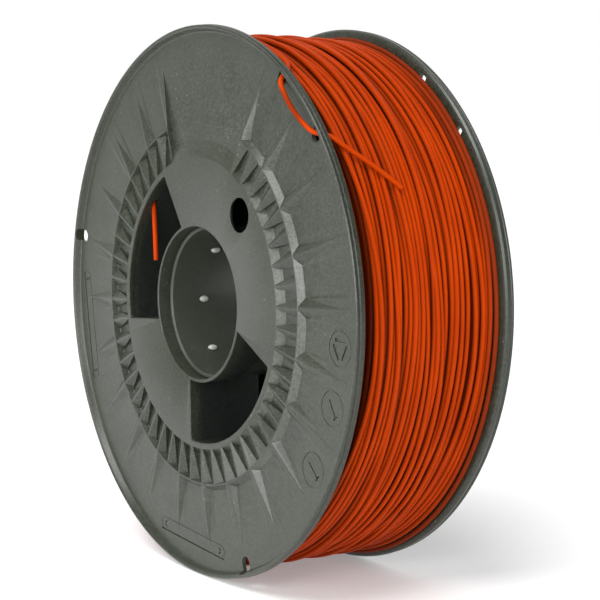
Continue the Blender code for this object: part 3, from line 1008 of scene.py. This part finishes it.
def slot_outline(angle, grow):
    """A slot by the rim, round towards the hub and narrower into the lip."""
    half = SLOT_HALF + grow
    outline = []
    for i in range(17):
        u, v = polar(half, 90.0 + 11.25 * i)
        outline.append((SLOT_R + u, v))
    mouth = [(97.9, -half), (98.5 + grow, -1.7), (98.7 + grow, -0.8)]
    outline += mouth + [(u, -v) for u, v in reversed(mouth)]
    return [along_angle(angle, u, v) for u, v in outline]


def circle_at(angle, out, radius, count):
    x, z = along_angle(angle, out, 0.0)
    return [(x + u, z + v) for u, v in (polar(radius, 360.0 / count * i) for i in range(count))]


def pin_hole_outline(angle, grow):
    return circle_at(angle, PIN_HOLE_OUT, PIN_HOLE_R + grow, 48)


def cut_through(solids, outline, angle, thickness, rear, smaller=0.0, chamfer=0.3, flare=0.0):
    """Cuts this outline right through, with a small chamfer at the outer face."""
    sections = []
    for grow, depth in ((chamfer + CLEAR, -CLEAR), (0.0, chamfer), (flare, thickness)):
        sections.append([place(x, z, depth, rear) for x, z in outline(angle, grow - smaller)])
    solids.loft(sections)


def cut_start_hole(solids):
    angle, depth, half_round, half_along = START_HOLE
    solids.loft([[
        place(*along_angle(angle, radius, half_round * u), depth + half_along * v)
        for u, v in OCTAGON
    ] for radius in START_HOLE_R])


def add_ribs(solids, centre, rear, from_r, to_r):
    """The two walls inside, beside a window."""
    near, far = RIB_OFFSETS
    corners = ((from_r, near), (to_r, near), (to_r, far), (from_r, far))
    for sign in (1.0, -1.0):
        outline = [
            polar(radius, centre + sign * window_reach(radius, offset))
            for radius, offset in corners
        ]
        solids.plate(outline, *RIB_DEPTHS, rear)


def add_bore_bumps(solids):
    """Small moulded bumps inside the bore of the rear half."""
    outline = [polar(1.0, 30.0 * i) for i in range(12)]
    for angle, depth in BUMPS:
        sections = []
        for radius, size in BUMP_SECTIONS:
            sections.append([
                place(
                    *along_angle(angle, radius, BUMP_HALF_WIDTH * size * v),
                    depth + BUMP_HALF_LENGTH * size * u, True,
                )
                for u, v in outline
            ])
        solids.loft(sections)


def stroke(solids, start, end, width, depth, rear):
    """A straight engraved line with blunt points."""
    a, b = Vector(start), Vector(end)
    along = (b - a).normalized() * width / 2
    across = Vector((-along.y, along.x))
    near, far = a - along * 0.6, b + along * 0.6
    outline = [near + across, a - along, near - across, far - across, b + along, far + across]
    solids.plate([tuple(point) for point in outline], -CLEAR, depth, rear)


def dial(solids, marks, angle, out, pointer, rear):
    """A round insert: an engraved circle, and a pointer or three short bars."""
    solids.groove(*(circle_at(angle, out, radius, 72) for radius in DIAL_LINE_R), LINE_DEPTH, rear)
    x, z = along_angle(angle, out, 0.0)

    def bar(middle, reach, width, depth):
        (u, v), (du, dv) = middle, reach
        stroke(marks, (x + u - du, z + v - dv), (x + u + du, z + v + dv), width, depth, rear)

    if pointer is None:
        for turn in (90.0, 210.0, 330.0):
            bar(polar(2.7, turn), polar(2.4, turn + 90.0), 1.1, 2.78)
    else:
        bar((0.0, 0.0), polar(3.1, pointer), 0.55, 2.8)
        bar(polar(3.472, pointer), polar(1.0, pointer + 90.0), 0.65, 2.85)


def long_insert(solids, marks, start, end, rear):
    """A long round-ended insert: its engraved outline, and a small slotted mark at each end."""
    a, b = Vector(start), Vector(end)
    along = (b - a).normalized()
    turn = math.degrees(math.atan2(along.y, along.x))
    bands = []
    for grow in LONG_LINE:
        outline = []
        for centre, from_turn in ((a, turn + 90.0), (b, turn - 90.0)):
            for i in range(13):
                u, v = polar(LONG_INSERT_HALF + grow, from_turn + 15.0 * i)
                outline.append((centre.x + u, centre.y + v))
        bands.append(outline)
    solids.groove(*bands, LINE_DEPTH, rear)
    across = Vector((-along.y, along.x)) * LONG_INSERT_HALF
    if (a + across).length < (a - across).length:
        across = -across
    stroke(marks, a + across - along * 2.2, b + across + along * 2.2, 0.55, 2.95, rear)
    for centre, sign, flip in ((a, 1.0, 0.0), (b, -1.0, 180.0)):
        tip = centre - along * sign * 0.2
        for side in (35.0, -35.0):
            u, v = polar(1.7, turn + side + flip)
            near, far = (tip.x + u * 0.35, tip.y + v * 0.35), (tip.x + u, tip.y + v)
            stroke(marks, near, far, 0.5, 3.0, rear)


def finish_half(half, rear, rib_span):
    """Adds the teeth, rays and walls of a half, and cuts its openings and engraved lines."""
    teeth, rays, walls = Solids("teeth"), Solids("rays"), Solids("ribs")
    holes, fine, marks = Solids("holes"), Solids("fine_lines"), Solids("marks")
    span = LABEL_FROM + 360.0 - LABEL_TO
    for solids, pitch, add in ((teeth, TOOTH_PITCH, add_tooth), (rays, RAY_PITCH, add_ray)):
        last = round(span / pitch)
        for i in range(last + 1):
            add(solids, LABEL_TO + i * pitch, rear, (i > 0, i < last))
    for centre in WINDOW_CENTRES:
        add_ribs(walls, centre, rear, *rib_span)
        cut_through(holes, window_outline, centre, PLATE + CLEAR, rear)
    if rear:
        add_bore_bumps(walls)
    smaller = REAR_SLOT_SMALLER if rear else 0.0
    for angle in SLOT_ANGLES:
        cut_through(holes, slot_outline, angle, INSIDE + CLEAR, rear, smaller)
    cut_through(holes, pin_hole_outline, AXIS_ANGLE, PLATE + CLEAR, rear,
                chamfer=PIN_HOLE_CHAMFER, flare=PIN_HOLE_FLARE)
    if not rear:
        cut_start_hole(holes)
    for angle, out, pointer in DIALS:
        dial(fine, marks, angle, out, pointer, rear)
    for start, end in LONG_INSERTS:
        long_insert(fine, marks, polar(*start), polar(*end), rear)
    combine(half, [
        (teeth.build(), "UNION"), (rays.build(), "UNION"), (walls.build(), "UNION"),
        (holes.build(), "DIFFERENCE"), (fine.build(), "DIFFERENCE"), (marks.build(), "DIFFERENCE"),
    ])


def add_halves(material):
    for name, inside, rear, rib_span in (
        ("front_flange", FRONT_INSIDE, False, FRONT_RIBS),
        ("rear_flange", REAR_INSIDE, True, REAR_RIBS),
    ):
        half = turned_half(name, inside, rear, material)
        finish_half(half, rear, rib_span)
        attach(half, "root")
        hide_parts("rear_half" if rear else "front_half")


# ---------------------------------------------------------------- build

add_camera()
orange = orange_filament()
grey = grey_plastic()
add_tail(orange)
add_inner_end(orange)
add_coil(orange)
add_halves(grey)
add_stage()
